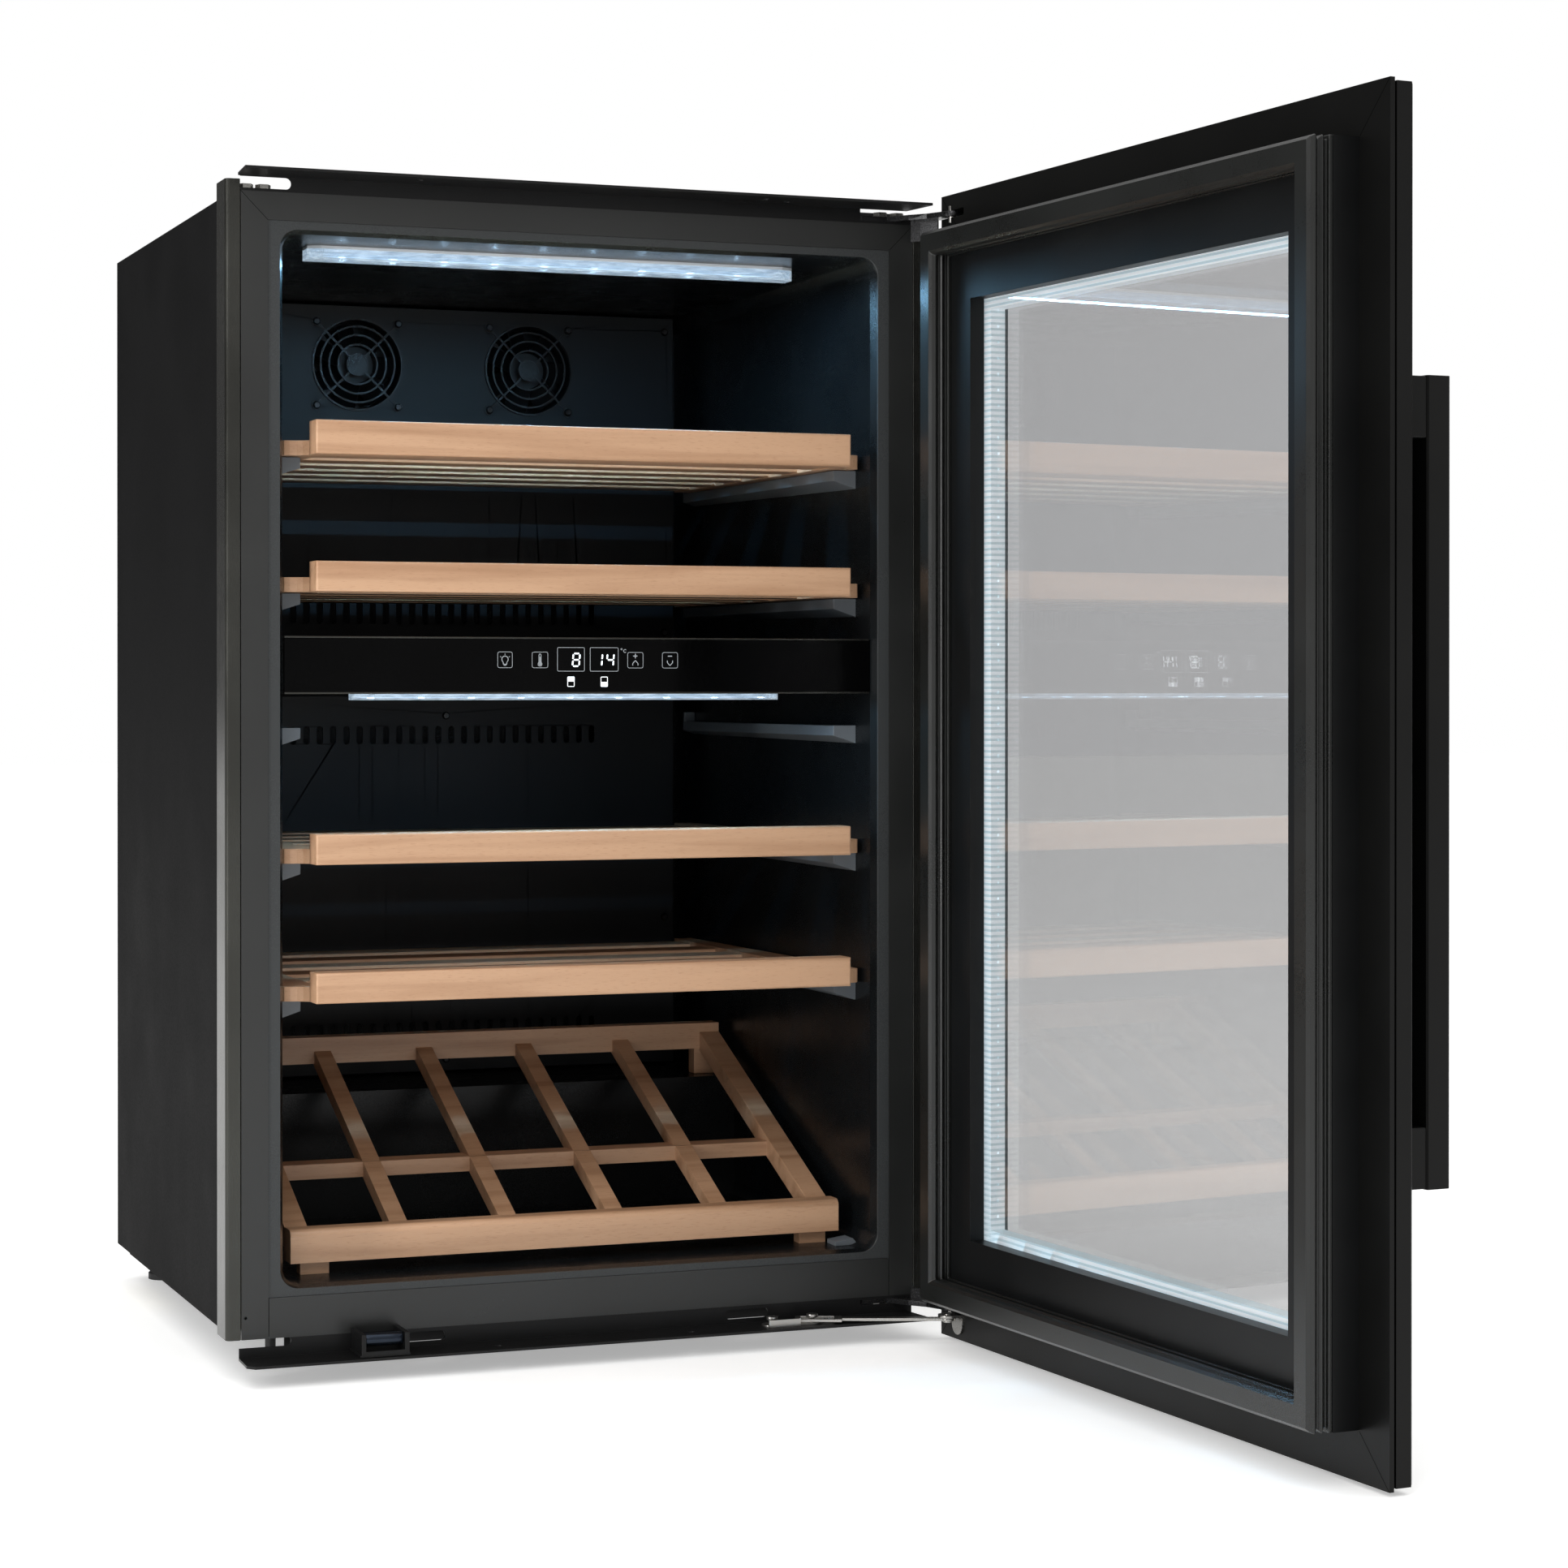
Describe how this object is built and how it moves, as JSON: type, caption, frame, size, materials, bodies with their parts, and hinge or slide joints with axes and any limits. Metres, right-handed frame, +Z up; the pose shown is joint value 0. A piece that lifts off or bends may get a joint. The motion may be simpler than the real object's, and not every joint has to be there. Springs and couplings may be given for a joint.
{
  "type": "wine cooler",
  "caption": "Built-in two-zone wine cooler with a hinged glass door, bar handle, sliding beech shelves, inclined display shelf and touch control strip.",
  "frame": {"origin": "middle of the four levelling feet, on the floor", "axes": "+Z up, -Y out of the front of the cabinet, +X to the right seen from the front; the rest pose has the door open by 94.4 degrees"},
  "size_m": [0.6614, 1.0981, 0.888],
  "materials": {
    "case_black": "matte",
    "frame_grey": "satin",
    "bracket_black": "satin",
    "trim_steel": "satin",
    "liner_plastic": "satin",
    "cover_plastic": "satin",
    "foam": "matte",
    "zinc_steel": "satin",
    "hinge_steel": "satin",
    "beech": "satin",
    "roller_steel": "satin",
    "support_grey": "satin",
    "fascia_gloss": "gloss",
    "display_gloss": "gloss",
    "board_green": "satin",
    "lens_clear": "gloss",
    "led_white": "satin",
    "fan_black": "satin",
    "wire_black": "satin",
    "door_black": "satin",
    "door_inner": "satin",
    "gasket_rubber": "matte",
    "glass_grey": "gloss",
    "spacer_alu": "satin",
    "alu_fins": "satin",
    "compressor_black": "gloss",
    "inlet_black": "matte",
    "foot_black": "matte"
  },
  "bodies": {
    "cabinet": {"base_pan": "case_black", "bracket_bolts": "zinc_steel", "bracket_bottom": "bracket_black", "bracket_top": "bracket_black", "catch_block": "bracket_black", "compressor": "compressor_black", "condenser": "wire_black", "control_board": "board_green", "control_fascia": "fascia_gloss", "cover_screws": "hinge_steel", "display_cells": "display_gloss", "display_shelf_front": "beech", "display_shelf_rack": "beech", "divider": "liner_plastic", "evaporator_coils": "alu_fins", "evaporator_cover_lower": "cover_plastic", "evaporator_cover_upper": "cover_plastic", "fan_frames": "fan_black", "fan_guards": "wire_black", "fascia_trims": "trim_steel", "frame_bottom_rail": "frame_grey", "frame_stiles": "frame_grey", "frame_top_rail": "frame_grey", "hinge_arms": "hinge_steel", "insulation": "foam", "led_boards": "led_white", "led_lenses": "lens_clear", "levelling_feet": "foot_black", "liner": "liner_plastic", "mains_inlet": "inlet_black", "rear_grille": "case_black", "rear_panel": "case_black", "shelf_supports": "support_grey", "side_panels": "case_black", "side_trims": "trim_steel", "stay_guide": "zinc_steel", "top_panel": "case_black"},
    "door": {"door_back_plate": "door_black", "door_outer_frame": "door_black", "door_inner_frame": "door_inner", "gasket": "gasket_rubber", "glass_panes": "glass_grey", "glass_spacer": "spacer_alu", "handle_bar": "door_black", "handle_posts": "door_black", "hinge_pins": "zinc_steel", "stay_bracket": "zinc_steel"},
    "stay": {"stay_link": "zinc_steel"},
    "fan_left": {"fan_rotor_left": "fan_black"},
    "fan_right": {"fan_rotor_right": "fan_black"},
    "condenser_fan": {"condenser_fan_rotor": "fan_black"},
    "roller": {"catch_roller": "roller_steel"},
    "shelf_1": {"shelf_1_front": "beech", "shelf_1_rack": "beech"},
    "shelf_2": {"shelf_2_front": "beech", "shelf_2_rack": "beech"},
    "shelf_3": {"shelf_3_front": "beech", "shelf_3_rack": "beech"},
    "shelf_4": {"shelf_4_front": "beech", "shelf_4_rack": "beech"}
  },
  "joints": [
    {"name": "door_hinge", "type": "hinge", "parent": "cabinet", "child": "door", "pos_m": [0.28224, -0.30084, 0.443], "axis": [0, 0, 1], "range_deg": [-94.4, 15]},
    {"name": "stay_pivot", "type": "hinge", "parent": "door", "child": "stay", "pos_m": [0.27206, -0.31641, 0.0197], "axis": [0, 0, 1], "range_deg": [-17.5, 108]},
    {"name": "shelf_1_slide", "type": "slide", "parent": "cabinet", "child": "shelf_1", "axis": [0, -1, 0], "range_m": [0, 0.26]},
    {"name": "shelf_2_slide", "type": "slide", "parent": "cabinet", "child": "shelf_2", "axis": [0, -1, 0], "range_m": [0, 0.26]},
    {"name": "shelf_3_slide", "type": "slide", "parent": "cabinet", "child": "shelf_3", "axis": [0, -1, 0], "range_m": [0, 0.26]},
    {"name": "shelf_4_slide", "type": "slide", "parent": "cabinet", "child": "shelf_4", "axis": [0, -1, 0], "range_m": [0, 0.26]},
    {"name": "fan_left_spin", "type": "hinge", "parent": "cabinet", "child": "fan_left", "pos_m": [-0.0785, 0.15, 0.783], "axis": [0, 1, 0], "continuous": true},
    {"name": "fan_right_spin", "type": "hinge", "parent": "cabinet", "child": "fan_right", "pos_m": [0.0745, 0.15, 0.783], "axis": [0, 1, 0], "continuous": true},
    {"name": "condenser_fan_spin", "type": "hinge", "parent": "cabinet", "child": "condenser_fan", "pos_m": [-0.063, 0.128, 0.079], "axis": [1, 0, 0], "continuous": true},
    {"name": "roller_spin", "type": "hinge", "parent": "cabinet", "child": "roller", "pos_m": [-0.167, -0.285, 0.029], "axis": [1, 0, 0], "continuous": true}
  ],
  "couplings": [
    {"joint": "stay_pivot", "follows": "door_hinge", "ratio": -1.14}
  ]
}
